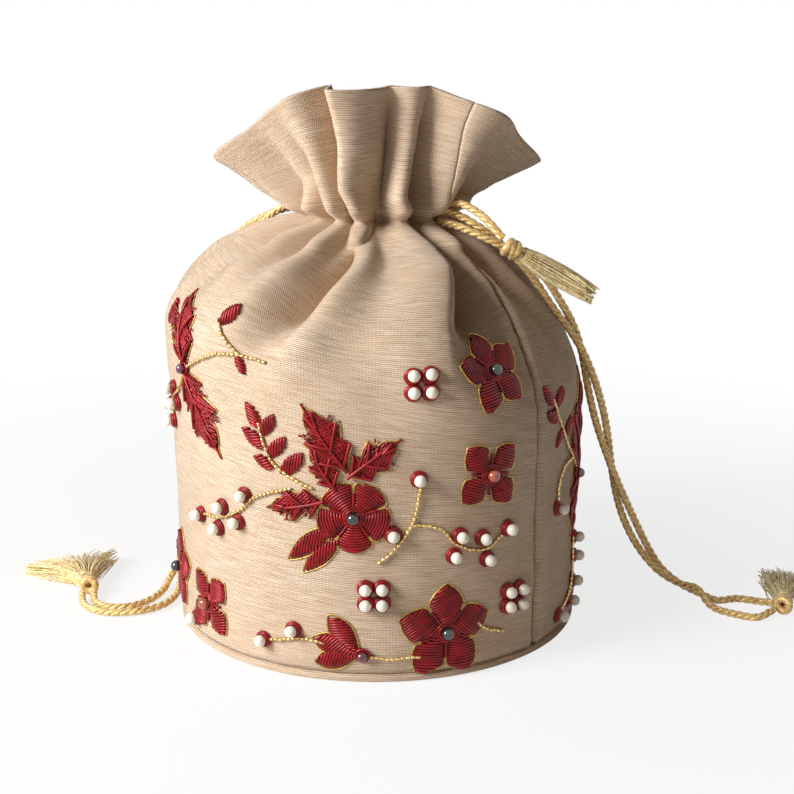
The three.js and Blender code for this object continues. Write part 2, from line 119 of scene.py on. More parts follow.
# Folds, each a list of stations: level, angle, width to the left, width to the right, height
FOLDS = [
    [(0.95, -62, 10, 10, 0), (1.25, -59, 10, 10, 2.5), (1.5, -54, 9, 9, 5), (1.75, -50, 7, 8, 8),
     (1.9, -52, 6, 6, 13), (2, -52, 6, 6, 9), (2.1, -52, 6, 6, 13), (2.4, -56, 8, 8, 5),
     (3, -58, 9, 9, 3)],
    [(0.85, -48, 10, 8, 0), (1.05, -46, 10, 8, 1.5), (1.33, -41, 10, 7, 6), (1.6, -34, 8, 6, 8),
     (1.8, -31, 6, 6, 9), (1.9, -30, 5, 5, 13), (2, -30, 5, 5, 9), (2.1, -30, 5, 5, 13),
     (2.3, -34, 7, 7, 12), (2.7, -38, 9, 8, 11), (3, -40, 11, 9, 9)],
    [(1.1, -33, 6, 6, 0), (1.31, -28, 6, 6, -6.5), (1.55, -22, 6, 5, -11), (1.75, -14, 5, 4, -12),
     (1.9, -8, 4, 3, -5), (2, -6, 3, 3, 0)],
    [(0.9, -26, 8, 10, 0), (1.1, -24, 7, 10, 1.5), (1.3, -21, 6, 10, 5.5), (1.6, -13, 5, 10, 6.5),
     (1.8, -7, 5, 8, 8), (1.9, -10, 5, 6, 12), (2, -13, 5, 5, 9), (2.1, -13, 5, 5, 13),
     (2.25, -19, 3, 9, 14), (2.6, -18, 2.8, 18, 12), (3, -21, 3.4, 24, 11)],
    [(0.85, 28, 12, 9, 0), (1.05, 22, 14, 9, 3), (1.22, 18, 18, 8, 6.5), (1.42, 19, 20, 5, 10),
     (1.64, 24, 20, 3, 13), (1.78, 27, 18, 2.6, 15), (1.9, 26, 13, 3, 15), (2, 20, 7, 5, 9),
     (2.1, 20, 7, 5, 13), (2.2, 15, 4.5, 4, 13), (2.5, 20, 4, 6, 6), (2.8, 23, 6, 8, 1.5),
     (3, 24, 6, 8, 0)],
    [(1.4, 24, 4, 5, 0), (1.55, 29, 3.5, 5, -8), (1.72, 33, 3.5, 5.5, -14), (1.88, 34, 3, 4, -10),
     (2, 34, 3, 3, -1)],
    [(2.02, -24, 3, 3, 0), (2.3, -27, 5, 3, -9), (2.7, -28, 8, 3.5, -11), (3, -31, 10, 4, -7)],
    [(2.02, 5, 4, 4, 0), (2.25, 6, 5, 5, -9), (2.6, 8, 7, 8, -12), (3, 9, 9, 10, -5)],
    [(2.02, 33, 4, 4, 0), (2.3, 34, 6, 6, -8), (2.7, 36, 8, 9, -10), (3, 38, 10, 11, -4)],
    [(0.95, 56, 9, 10, 0), (1.2, 54, 8, 10, 1.5), (1.5, 51, 7, 10, 5.5), (1.7, 47, 6, 9, 8),
     (1.85, 45, 5, 8, 9), (1.9, 46, 6, 6, 13), (2, 46, 6, 6, 9), (2.1, 46, 6, 6, 13),
     (2.3, 50, 9, 11, 13), (2.7, 54, 14, 15, 12), (3, 56, 16, 17, 11)],
    [(0.9, 74, 10, 10, 0), (1.3, 73, 10, 10, 3.5), (1.7, 69, 7, 7, 7), (1.9, 66, 6, 6, 13),
     (2, 66, 6, 6, 9), (2.1, 66, 6, 6, 13), (2.4, 78, 9, 9, 12), (3, 86, 12, 12, 10)],
]
# Plainer gathers of the sides and back: angle at the shoulder, the neck and the rim, and height at the rim
GATHERS = [
    (94, 90, 100, 2),
    (114, 114, 116, 12),
    (138, 139, 138, 2),
    (162, 163, 157, 12),
    (187, 188, 188, 2),
    (213, 213, 208, 12),
    (239, 238, 236, 3),
    (262, 262, 256, 12),
    (282, 285, 280, 12),
]
GATHER_SHAPE = [(0.9, 9, 0), (1.3, 9.5, 3.5), (1.7, 8, 7), (1.9, 7, 13), (2, 6.5, 9), (2.1, 7, 13)]

# Wire work, in millimetres
WIRE_RADIUS = 0.55
WIRE_PITCH = 1.02
SHORTEST_STRAND = 1.3
THREAD_RADIUS = 0.3
PEARL_RADIUS = 2.2
BEAD_RADIUS = 2.3
BUGLE_RADIUS = 0.62
BUGLE_LENGTH = 1.6
BUGLE_PITCH = 1.85
CLUSTER_PITCH = 5.8

# Cords, in millimetres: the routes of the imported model
CORD_DIAMETER = 3.2
CORD_STEP = 13
PLY_TURN = 9.5
TWIST_LENGTH = 112
TWIST_GAP = 0.8
KNOT_RADIUS = 4.2
KNOT_HEIGHT = KNOT_RADIUS + 0.2
TASSEL_LENGTH = 34
TASSEL_HEAD = 3.4
TASSEL_SKIRT = 8
RIGHT_LINE = [
    (24, -17, 162), (30, -21, 161), (37, -24, 158), (44, -24, 154), (51, -22, 149), (57, -20, 144),
    (63, -17, 137), (69, -15, 128), (75, -12, 119), (80, -10, 109), (84, -8, 97), (88, -5, 83), (92, -2, 69),
    (96, 1, 55), (100, 3, 43), (105, 5, 31), (111, 6, 20), (118, 5, 11), (126, 2, 6), (132, -3, 5),
]
RIGHT_TAILS = [
    [(136, -13, 2), (144, -21, 1.8), (152, -24, 1.8), (159.7, -19.3, 3.2)],
    [(139, -6, 2), (148, -4, 1.8), (156, -7, 1.8), (161.5, -13, 3.2)],
]
LEFT_LINE = [
    (-21, 20.5, 163.5), (-28, 27, 162), (-37, 33, 159), (-46, 38, 154), (-55, 43, 147), (-62, 48, 138),
    (-68, 50, 127), (-71, 51, 114), (-73, 49, 99), (-75, 48, 82), (-78, 46, 65), (-79, 44, 48),
    (-80, 41, 32), (-82, 36, 18), (-85, 29, 8),
]
LEFT_TAILS = [
    [(-83.5, 16, 2.6), (-84, 4, 1.8), (-87, -6, 1.8), (-94, -13, 1.8), (-103, -15.5, 1.8), (-112, -14.5, 1.8),
     (-120, -7, 1.8), (-122.8, 3.8, 3.2)],
    [(-89, 20, 2.2), (-90, 9, 1.8), (-94, -2, 1.8), (-101, -9, 1.8), (-109, -10, 1.8), (-116, -4, 1.8),
     (-118.2, 5, 3.2)],
]
SHORT_LINE = [
    (23.5, -16.5, 166), (27.5, -19.5, 167.5), (31, -22, 167.5), (37, -27, 165), (42, -31, 161),
    (46.5, -33, 156),
]
# Each tassel: knot, tip, spread to the sides
TASSELS = {
    "right": ((164, -16.5, KNOT_HEIGHT), (173, 20, KNOT_HEIGHT), 1.2),
    "left": ((-121, 9, KNOT_HEIGHT), (-137, 44, KNOT_HEIGHT), 2.6),
    "shoulder": ((49.5, -33, 152.2), (84, -24, 133), 0.9),
}

# Material places in an embroidered piece
WIRE, THREAD, BUGLE, PEARL, GREEN, PURPLE, AMBER = range(7)


# Cloth surface

def ease(value):
    """Smooth step from 0 to 1."""
    t = np.clip(value, 0, 1)
    return t * t * (3 - 2 * t)


def bezier(a, b, c, d, t):
    """Point of a cubic curve."""
    s = 1 - t
    return s**3 * a + 3 * s * s * t * b + 3 * s * t * t * c + t**3 * d


def angle_gap(a, b):
    """Signed angle from b to a."""
    return (a - b + 180) % 360 - 180


LEVEL_AXIS = np.linspace(0, 3, 601)
BLUR = np.exp(-np.linspace(-2.5, 2.5, 31) ** 2)
BLUR /= BLUR.sum()


def along_levels(levels, values):
    """A station value at every level of the axis, smoothed."""
    line = np.interp(LEVEL_AXIS, levels, values)
    return np.convolve(np.pad(line, 15, mode="edge"), BLUR, mode="valid")


def gather_stations(foot, neck, rim, rim_height):
    """Stations of a plain gather."""
    rows = []
    for level, width, height in GATHER_SHAPE:
        up = min(max(level - 1, 0), 1) ** 2
        rows.append((level, foot + angle_gap(neck, foot) * up, width, width, height))
    middle = neck + angle_gap(rim, neck) / 2
    rows.append((2.4, middle, 9, 9, (13 + rim_height) / 2))
    rows.append((3, rim, 12, 12, rim_height))
    return rows


def fold_lines():
    """Each fold's angle, widths and height at every level."""
    stations = FOLDS + [gather_stations(*row) for row in GATHERS]
    lines = []
    for rows in stations:
        columns = np.array(rows, dtype=float).T
        lines.append([along_levels(columns[0], column) for column in columns[1:]])
    return lines


FOLD_LINES = fold_lines()
RIM_TABLE = np.array(RIM, dtype=float).T
RIM_AXIS = np.linspace(-180, 180, 361)


def round_the_rim(values):
    """A rim value at every degree, smoothed."""
    line = np.interp(RIM_AXIS, RIM_TABLE[0], values)[:-1]
    kernel = np.exp(-np.linspace(-2, 2, 25) ** 2)
    wide = np.concatenate([line[-12:], line, line[:12]])
    smooth = np.convolve(wide, kernel / kernel.sum(), mode="valid")
    return np.append(smooth, smooth[0])


RIM_RADIUS = round_the_rim(RIM_TABLE[1])
RIM_HEIGHT = round_the_rim(RIM_TABLE[2])


def shoulder_start(angle):
    """Height at which the wall turns in."""
    return SHOULDER_HEIGHT - SHOULDER_LEAN * np.sin(np.radians(angle))


def outline(angle, level):
    """Smooth outline of the bag as radius and height."""
    turn = np.sin(np.radians(angle))
    start = shoulder_start(angle)
    t = np.clip(level - 1, 0, 1)
    fall = SHOULDER_FALL + SHOULDER_FALL_LEAN * turn
    reach = NECK_RADIUS + SHOULDER_REACH - 2 * turn
    radius = bezier(BODY_RADIUS, BODY_RADIUS, reach, NECK_RADIUS, t)
    height = bezier(start, start + SHOULDER_RISE, NECK_HEIGHT - fall, NECK_HEIGHT, t)
    height = np.where(level < 1, WALL_FOOT + (start - WALL_FOOT) * level, height)
    bulge = LEFT_BULGE * np.clip(-turn, 0, 1) * np.exp(-(((level - 0.95) / 0.35) ** 2))
    foot = np.clip(1 - (height - WALL_FOOT) / 3, 0, 1) ** 2
    radius = radius + bulge - 0.9 * foot
    out = np.clip(level - 2, 0, 1)
    wrapped = (angle + 180) % 360 - 180
    rim_radius = np.interp(wrapped, RIM_AXIS, RIM_RADIUS)
    rim_height = np.interp(wrapped, RIM_AXIS, RIM_HEIGHT)
    radius = radius + (rim_radius - NECK_RADIUS) * out**1.3
    height = height + (rim_height - NECK_HEIGHT) * out
    return radius, height


def fold_height(angle, level):
    """How far the gathered cloth stands off its smooth outline."""
    out = np.clip(level - 2, 0, 1)
    grip = ease((level - 1.55) / 0.45)
    rise = ease((level - 0.85) / 0.55)
    height = (NECK_SINK - RIM_SINK) * out - NECK_SINK * grip - SHOULDER_SINK * rise * (1 - grip)
    height = height - NECK_PINCH * np.exp(-(((level - 2) / 0.05) ** 2))
    for line in FOLD_LINES:
        centre, left, right, crest = (np.interp(level, LEVEL_AXIS, values) for values in line)
        gap = angle_gap(angle, centre)
        height = height + crest * np.exp(-((gap / np.where(gap < 0, left, right)) ** 2))
    return height


def wrinkles(angle, level):
    """Small dents of worn cloth, the sunk side seams and the puckers along them."""
    u = np.radians(angle) * BODY_RADIUS
    v = level * 95
    dents = 0.5 * np.sin(u / 11 + 1.3 * np.sin(v / 23)) * np.sin(v / 14 + 1.1 * np.sin(u / 31 + 0.7))
    dents = dents + 0.2 * np.sin(u / 5.3 + v / 17) * np.sin(v / 6.1 - u / 19)
    dents = dents + 0.8 * np.sin(u / 19 + 0.8 * np.sin(v / 31) + 2) * np.sin(v / 26 + u / 70 + 0.6)
    seam = np.minimum(abs(angle_gap(angle, SEAM_ANGLE)), abs(angle_gap(angle, SEAM_ANGLE + 180)))
    sunk = -1.5 * np.exp(-((seam / 0.8) ** 2)) + 0.5 * np.exp(-(((seam - 2.2) / 1.4) ** 2))
    pucker = 0.3 * np.sin(v / 1.9 + 2 * np.sin(v / 7)) * np.exp(-((seam / 3.5) ** 2))
    sewn = (sunk + pucker) * (1 - 0.75 * ease((level - 1.7) / 0.3))
    return dents * ease(level / 0.12) + sewn


def cloth_points(angle, level, stand_off=0.0):
    """Points of the cloth's outer face, moved out by the stand-off."""
    angle, level = np.broadcast_arrays(np.asarray(angle, dtype=float), np.asarray(level, dtype=float))
    below = outline(angle, np.maximum(level - 0.002, 0))
    above = outline(angle, np.minimum(level + 0.002, 3))
    along_r, along_z = above[0] - below[0], above[1] - below[1]
    length = np.hypot(along_r, along_z)
    free = ease(abs(level - 2) / 0.45) * np.where(level > 2, 0.25, 1.0)
    out_r = 1 + (along_z / length - 1) * free
    out_z = -along_r / length * free
    scale = np.hypot(out_r, out_z)
    radius, height = outline(angle, level)
    height_off = fold_height(angle, level) + wrinkles(angle, level) + stand_off
    radius = radius + height_off * out_r / scale
    height = height + height_off * out_z / scale
    slope = (fold_height(angle + 0.3, level) - fold_height(angle - 0.3, level)) / (0.6 * np.radians(radius))
    roll = -1.7 * np.tanh(0.45 * slope) * ease((level - 1.35) / 0.4)
    turn = np.radians(angle) + roll / radius
    return np.stack([radius * np.sin(turn), -radius * np.cos(turn), height], axis=-1)


def sewn_points(places, lift):
    """Points over the cloth at places given by angle and height up the cloth."""
    places = np.asarray(places, dtype=float)
    angle, height = places[..., 0], places[..., 1]
    wall = shoulder_start(angle) - WALL_FOOT
    level = np.where(height < wall, height / wall, 1 + (height - wall) / SHOULDER_SPEED)
    return cloth_points(angle, level, lift)


# Lines

def spline(points, step):
    """Points along a centripetal curve through the given ones, a step apart."""
    points = np.asarray(points, dtype=float)
    ends = np.vstack([2 * points[0] - points[1], points, 2 * points[-1] - points[-2]])
    pieces = []
    for p0, p1, p2, p3 in zip(ends, ends[1:], ends[2:], ends[3:]):
        d0, d1, d2 = (max(math.sqrt(np.linalg.norm(b - a)), 1e-4) for a, b in ((p0, p1), (p1, p2), (p2, p3)))
        m1 = ((p1 - p0) / d0 - (p2 - p0) / (d0 + d1) + (p2 - p1) / d1) * d1
        m2 = ((p2 - p1) / d1 - (p3 - p1) / (d1 + d2) + (p3 - p2) / d2) * d1
        t = np.linspace(0, 1, 24, endpoint=False)[:, None]
        pieces.append(p1 + m1 * t + (3 * (p2 - p1) - 2 * m1 - m2) * t**2 + (2 * (p1 - p2) + m1 + m2) * t**3)
    return spaced(np.vstack([*pieces, points[-1:]]), step)


def spaced(line, step):
    """A line's points set evenly, about a step apart."""
    run = np.concatenate([[0], np.cumsum(np.linalg.norm(np.diff(line, axis=0), axis=1))])
    count = max(int(round(run[-1] / step)), 2)
    wanted = np.linspace(0, run[-1], count + 1)
    return np.stack([np.interp(wanted, run, column) for column in line.T], axis=-1)


def line_length(line):
    """Length of a line of points."""
    return float(np.linalg.norm(np.diff(line, axis=0), axis=1).sum())


def frames_along(line, reference):
    """Tangent, side and upper direction at each point of a line."""
    tangent = np.gradient(line, axis=0)
    tangent /= np.linalg.norm(tangent, axis=1, keepdims=True)
    side = np.cross(tangent, reference)
    side /= np.linalg.norm(side, axis=1, keepdims=True)
    return tangent, side, np.cross(side, tangent)


# Meshes

class Wirework:
    """Round strands and balls that become one mesh."""

    def __init__(self):
        self.runs = []
        self.balls = []

    def strand(self, points, radius, place=0, closed=False):
        """Add a round strand; radius is one number or one for each point."""
        points = np.asarray(points, dtype=float)
        self.runs.append((points, np.broadcast_to(radius, len(points)), place, closed))

    def ball(self, centre, radius, place, squash=(1, 1, 1), axis=(0, 0, 1)):
        """Add a ball, squashed across and along its axis."""
        turn = Vector((0, 0, 1)).rotation_difference(Vector(axis)).to_matrix().to_4x4()
        matrix = Matrix.Translation(Vector(centre) * MM) @ turn @ Matrix.Diagonal((*squash, 1))
        self.balls.append((matrix, radius, place))

    def mesh(self, name, sides=6):
        """One mesh of all the strands and balls."""
        curve = bpy.data.curves.new(name, "CURVE")
        curve.dimensions = "3D"
        curve.bevel_depth = MM
        curve.bevel_resolution = (sides - 4) // 2
        curve.use_fill_caps = True
        for _ in range(AMBER + 1):
            curve.materials.append(None)
        for points, radii, place, closed in self.runs:
            run = curve.splines.new("POLY")
            run.points.add(len(points) - 1)
            run.points.foreach_set("co", np.c_[points * MM, np.ones(len(points))].ravel())
            run.points.foreach_set("radius", np.array(radii, dtype=float))
            run.use_cyclic_u = closed
            run.material_index = place
        holder = bpy.data.objects.new(name, curve)
        bpy.context.collection.objects.link(holder)
        bpy.context.view_layer.update()
        tubes = bpy.data.meshes.new_from_object(holder.evaluated_get(bpy.context.evaluated_depsgraph_get()))
        bpy.data.objects.remove(holder)
        bpy.data.curves.remove(curve)
        shape = bmesh.new()
        shape.from_mesh(tubes)
        bpy.data.meshes.remove(tubes)
        for matrix, radius, place in self.balls:
            made = bmesh.ops.create_uvsphere(
                shape, u_segments=18, v_segments=12, radius=radius * MM, matrix=matrix
            )
            for face in {face for vertex in made["verts"] for face in vertex.link_faces}:
                face.material_index = place
        return finished(shape, name)


def finished(shape, name):
    """A smooth-shaded mesh from a bmesh."""
    for face in shape.faces:
        face.smooth = True
    mesh = bpy.data.meshes.new(name)
    shape.to_mesh(mesh)
    shape.free()
    return mesh


def add_piece(name, mesh, materials, nodes):
    """An object of the bag that stands for CAD nodes."""
    for material in materials:
        mesh.materials.append(material)
    piece = bpy.data.objects.new(name, mesh)
    bpy.context.collection.objects.link(piece)
    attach(piece, "root")
    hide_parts(*nodes)
    return piece


# Materials

def colour(text):
    """Linear colour of an sRGB hex value."""
    parts = [int(text[i : i + 2], 16) / 255 for i in (1, 3, 5)]
    return tuple(p / 12.92 if p <= 0.04045 else ((p + 0.055) / 1.055) ** 2.4 for p in parts) + (1.0,)


def add_node(tree, kind, inputs=None, **settings):
    """A node with its settings, and its inputs set or linked."""
    node = tree.nodes.new(kind)
    for name, value in settings.items():
        setattr(node, name, value)
    for name, value in (inputs or {}).items():
        if isinstance(value, bpy.types.NodeSocket):
            tree.links.new(value, node.inputs[name])
        else:
            node.inputs[name].default_value = value
    return node


def seen_rays(tree):
    """One for the rays that show the surround: straight to the eye, or by way of metal or glass."""
    rays = add_node(tree, "ShaderNodeLightPath").outputs
    seen = rays["Is Camera Ray"]
    for kind in ("Is Glossy Ray", "Is Transmission Ray"):
        seen = add_node(tree, "ShaderNodeMath", {0: seen, 1: rays[kind]}, operation="MAXIMUM").outputs[0]
    return seen


def new_material(name, **constants):
    """A material with a plain shader, returned with its tree and shader."""
    material = bpy.data.materials.get(name)
    if material:
        bpy.data.materials.remove(material)
    material = bpy.data.materials.new(name)
    material.use_nodes = True
    shader = material.node_tree.nodes["Principled BSDF"]
    for key, value in constants.items():
        shader.inputs[key.replace("_", " ").title().replace("Ior", "IOR")].default_value = value
    return material, material.node_tree, shader


def wave_scale(pitch):
    """Wave texture scale for bands a pitch apart, in millimetres."""
    return math.pi / 10 / (pitch * MM)


def silk_tissue():
    """Silk tissue, woven with thick weft over fine warp: fine level ribs, slubs and a soft glint, with painted
    shade in the grooves and painted light on the raised threads.
    """
    material, tree, shader = new_material(
        "silk tissue", roughness=0.5, sheen_weight=0.7, sheen_roughness=0.4, specular_ior_level=0.12
    )
    shader.inputs["Sheen Tint"].default_value = colour("#fff0dc")
    cloth = add_node(tree, "ShaderNodeUVMap", uv_map="cloth").outputs["UV"]
    weft = add_node(
        tree,
        "ShaderNodeTexWave",
        {"Vector": cloth, "Scale": wave_scale(0.66), "Distortion": 1.8, "Detail": 2.0, "Detail Scale": 1.6},
        bands_direction="Y",
    ).outputs["Fac"]
    warp = add_node(
        tree,
        "ShaderNodeTexWave",
        {"Vector": cloth, "Scale": wave_scale(0.52), "Distortion": 1.4, "Detail": 1.0, "Detail Scale": 1.5},
        bands_direction="X",
    ).outputs["Fac"]
    stretched = add_node(
        tree, "ShaderNodeMapping", {"Vector": cloth, "Scale": (90, 1100, 1)}
    ).outputs["Vector"]
    slub = add_node(
        tree, "ShaderNodeTexNoise", {"Vector": stretched, "Scale": 1.0, "Detail": 3.0, "Roughness": 0.6}
    ).outputs["Fac"]
    cloudy = add_node(
        tree, "ShaderNodeTexNoise", {"Vector": cloth, "Scale": 38.0, "Detail": 2.0}
    ).outputs["Fac"]
    weave = add_node(
        tree, "ShaderNodeMath", {0: weft, 1: add_node(
            tree, "ShaderNodeMath", {0: warp, 1: 0.6}, operation="MULTIPLY").outputs[0]},
        operation="ADD",
    ).outputs[0]
    threads = add_node(
        tree, "ShaderNodeMath", {0: slub, 1: 1.5, 2: weave}, operation="MULTIPLY_ADD"
    ).outputs[0]
    # Thread colour from the same heights as the bump, running from a shaded to a lit tone of the cloth: the
    # weave's own thread tones and slubs, with painted shade in the low grooves and painted light on the raised
    # ribs
    ramp = add_node(tree, "ShaderNodeValToRGB", {"Fac": add_node(
        tree, "ShaderNodeMapRange", {"Value": threads, "From Min": 0.6, "From Max": 2.3}
    ).outputs[0]})
    ramp.color_ramp.elements[0].color = colour("#84654a")
    ramp.color_ramp.elements[1].color = colour("#efe3d0")
    ramp.color_ramp.elements.new(0.5).color = colour("#c2a68b")
    mixed = add_node(
        tree,
        "ShaderNodeMix",
        {"Factor": add_node(
            tree, "ShaderNodeMapRange", {"Value": cloudy, "From Min": 0.35, "From Max": 0.7, "To Max": 0.35}
        ).outputs[0], "A": ramp.outputs["Color"], "B": colour("#c9a987")},
        data_type="RGBA",
    )
    tree.links.new(mixed.outputs["Result"], shader.inputs["Base Color"])
    bump = add_node(
        tree, "ShaderNodeBump", {"Strength": 0.4, "Distance": 0.0003, "Height": threads}
    ).outputs["Normal"]
    tree.links.new(bump, shader.inputs["Normal"])
    return material


def coiled_wire():
    """Coiled embroidery wire, lacquered maroon: bright lines along each strand with dark gaps between."""
    material, tree, shader = new_material(
        "lacquered coil wire", metallic=0.2, roughness=0.34, specular_ior_level=0.3, coat_weight=0.08,
        coat_roughness=0.2,
    )
    place = add_node(tree, "ShaderNodeTexCoord").outputs["Object"]
    patchy = add_node(
        tree, "ShaderNodeTexNoise", {"Vector": place, "Scale": 260.0, "Detail": 2.0}
    ).outputs["Fac"]
    ramp = add_node(tree, "ShaderNodeValToRGB", {"Fac": patchy})
    ramp.color_ramp.elements[0].position = 0.3
    ramp.color_ramp.elements[0].color = colour("#6c0a0e")
    ramp.color_ramp.elements[1].position = 0.7
    ramp.color_ramp.elements[1].color = colour("#9c151b")
    tree.links.new(ramp.outputs["Color"], shader.inputs["Base Color"])
    coils = add_node(
        tree, "ShaderNodeTexNoise", {"Vector": place, "Scale": 2200.0, "Detail": 1.0}
    ).outputs["Fac"]
    bump = add_node(
        tree, "ShaderNodeBump", {"Strength": 0.25, "Distance": 0.0001, "Height": coils}
    ).outputs["Normal"]
    tree.links.new(bump, shader.inputs["Normal"])
    return material


def speckled(name, low, high, scale, bump_strength, **constants):
    """A material whose colour wanders between two shades at a given scale, with a matching fine bump."""
    material, tree, shader = new_material(name, **constants)
    place = add_node(tree, "ShaderNodeTexCoord").outputs["Object"]
    noise = add_node(
        tree, "ShaderNodeTexNoise", {"Vector": place, "Scale": scale, "Detail": 2.0}
    ).outputs["Fac"]
    ramp = add_node(tree, "ShaderNodeValToRGB", {"Fac": noise})
    ramp.color_ramp.elements[0].position = 0.32
    ramp.color_ramp.elements[0].color = colour(low)
    ramp.color_ramp.elements[1].position = 0.68
    ramp.color_ramp.elements[1].color = colour(high)
    tree.links.new(ramp.outputs["Color"], shader.inputs["Base Color"])
    bump = add_node(
        tree, "ShaderNodeBump", {"Strength": bump_strength, "Distance": 0.0001, "Height": noise}
    ).outputs["Normal"]
    tree.links.new(bump, shader.inputs["Normal"])
    return material


def embroidery_materials():
    """Finishes of an embroidered piece, in the order of their places."""
    return [
        coiled_wire(),
        # Gold edge thread: dull glints broken up by its twist
        speckled("gold edge thread", "#8f6a2c", "#d9b565", 1500, 0.3, metallic=0.6, roughness=0.4),
        # Silver-lined glass bugles: bright warm gold with clear highlights
        speckled(
            "gold bugle glass", "#b98c3e", "#ecd08a", 700, 0.05, metallic=0.55, roughness=0.18, coat_weight=0.6
        ),
        # Lacquered glass pearls: cream with a soft broad glow
        speckled(
            "pearl lacquer", "#e6dcc6", "#f5eee0", 150, 0.02, roughness=0.28, coat_weight=0.5, sheen_weight=0.1
        ),
        # Polished glass beads: dark body colour under a sharp highlight
        speckled("green glass", "#0a1b18", "#1d3632", 300, 0.0, roughness=0.08, coat_weight=1.0),
        speckled("purple glass", "#3c0b1e", "#6b1c38", 300, 0.0, roughness=0.08, coat_weight=1.0),
        speckled("amber glass", "#7c3020", "#c2603c", 300, 0.0, roughness=0.1, coat_weight=1.0),
    ]


def cord_silk():
    """Twisted art-silk cord: pale gold strands with satin highlights across each ply."""
    return speckled(
        "gold cord silk", "#c2944c", "#f6da98", 900, 0.25, roughness=0.42, metallic=0.25, sheen_weight=0.3
    )


def tassel_silk():
    """Loose art-silk threads: paler and shinier than the cord they come from."""
    return speckled(
        "gold tassel silk", "#dfba66", "#fff4c4", 600, 0.1, roughness=0.38, metallic=0.15, sheen_weight=0.4
    )


# Embroidery

class Motif(Wirework):
    """Embroidery of one piece, laid on the cloth round a panel's middle."""

    def __init__(self, name, turn):
        super().__init__()
        self.turn = turn
        self.dice = random.Random(name)

    def lay(self, origin, local, heading, lift):
        """Points on the cloth from local ones, along and across a heading in degrees."""
        local = np.asarray(local, dtype=float)
        cos, sin = math.cos(math.radians(heading)), math.sin(math.radians(heading))
        right = local[..., 0] * cos - local[..., 1] * sin
        up = local[..., 0] * sin + local[..., 1] * cos
        angle = origin[0] + self.turn + np.degrees(right / BODY_RADIUS)
        return sewn_points(np.stack([angle, origin[1] + up], axis=-1), lift)

    def outward(self, origin):
        """Direction out of the cloth at a place."""
        foot, top = self.lay(origin, [[0, 0], [0, 0]], 0, np.array([0.0, 1.0]))
        return tuple(top - foot)

    def satin(self, origin, heading, length, half_width, slant, dome, bow=0.0, start=0.0):
        """Fill an outline with strands laid side by side at a slant to its length."""
        cos, sin = math.cos(math.radians(slant)), math.sin(math.radians(slant))
        q = np.linspace(-length, length, 161)
        reach = length * (abs(sin) + abs(cos)) / 1.6
        for step in np.arange(-reach, reach, WIRE_PITCH):
            t = length / 2 + q * cos - step * sin
            s = q * sin + step * cos
            t = t - bow * s**2
            width = half_width(np.clip(t / length, 0, 1))
            inside = np.flatnonzero((t > start) & (t < length) & (abs(s) < width))
            if len(inside) * (q[1] - q[0]) < SHORTEST_STRAND:
                continue
            pick = np.linspace(inside[0], inside[-1], 8).round().astype(int)
            t, s, width = t[pick], s[pick], np.maximum(width[pick], 0.3)
            across = np.clip(abs(np.linspace(-1, 1, 8)), 0, 1)
            lift = 0.25 + dome * (1 - across**2.4) + self.dice.uniform(-0.08, 0.08)
            radius = WIRE_RADIUS * (1 - 0.35 * across**6)
            self.strand(self.lay(origin, np.c_[t, s], heading, lift), radius, WIRE)

    def edge(self, origin, heading, length, half_width, start=0.0, lift=0.25):
        """Gold thread round an outline."""
        u = np.linspace(start / length, 1, 26)
        side = np.c_[u * length, half_width(u) + 0.5]
        loop = np.vstack([side, side[::-1] * (1, -1)])
        loop[len(u) - 1 : len(u) + 1, 0] += 0.6
        self.strand(self.lay(origin, loop, heading, lift), THREAD_RADIUS, THREAD)

    def bead(self, place, material, radius=BEAD_RADIUS):
        """A glass bead in a ring of wire."""
        self.ring(place, radius + 0.35, 1.1)
        centre = self.lay(place, [[0, 0]], 0, radius + 0.5)[0]
        self.ball(centre, radius, material, (1, 1, 0.92), self.outward(place))

    def ring(self, place, radius, lift):
        """A ring of wire."""
        turn = np.linspace(0, 2 * math.pi, 18, endpoint=False)
        circle = np.c_[np.cos(turn), np.sin(turn)] * radius
        self.strand(self.lay(place, circle, 0, lift), 0.62, WIRE, closed=True)

    def pearl(self, *place):
        """A pearl sewn into two rings of wire."""
        self.ring(place, PEARL_RADIUS + 0.45, 0.6)
        self.ring(place, PEARL_RADIUS + 0.1, 1.3)
        centre = self.lay(place, [[0, 0]], 0, PEARL_RADIUS + 0.9)[0]
        self.ball(centre, PEARL_RADIUS, PEARL, (1, 1, 0.95), self.outward(place))

    def cluster(self, *place):
        """Four pearls in a square."""
        half = CLUSTER_PITCH / 2
        for right, up in ((-1, -1), (1, -1), (-1, 1), (1, 1)):
            self.pearl(place[0] + math.degrees(right * half / BODY_RADIUS), place[1] + up * half)

    def stem(self, *places):
        """Bugle beads threaded along a line."""
        flat = np.array([[math.radians(a) * BODY_RADIUS, h, 0] for a, h in places])
        line = spline(flat, 0.25)
        run = np.linspace(0, line_length(line), len(line))
        for start in np.arange(0, run[-1] - BUGLE_LENGTH / 2, BUGLE_PITCH):
            span = start + np.array([0, 0.12, 0.5, 0.88, 1]) * BUGLE_LENGTH
            x = np.interp(span, run, line[:, 0])
            y = np.interp(span, run, line[:, 1]) + self.dice.uniform(-0.18, 0.18)
            places_on = np.c_[np.degrees(x / BODY_RADIUS) + self.turn, y]
            lift = BUGLE_RADIUS + 0.15 + self.dice.uniform(0, 0.2)
            radius = BUGLE_RADIUS * np.array([0.72, 1, 1, 1, 0.72])
            self.strand(sewn_points(places_on, lift), radius, BUGLE)

    def flower(self, place, radius, petals, first, bead, slant=0.0):
        """Petals of laid wire round a bead, with wire between the petals and gold thread round them."""
        half = math.pi / petals
        widest = radius * (0.55 if slant else 0.7)
        point = 1.6 if slant else 3.0
        snug = (0.86 if petals > 4 else 0.64) if slant else 0.88

        def half_width(u):
            t = u * radius
            wedge = np.minimum(t, widest * 1.06) * math.tan(half) * snug
            tip = np.clip((t - widest) / (radius - widest), 0, 1)
            return wedge * np.clip(1 - tip**point, 0, 1) ** 0.7

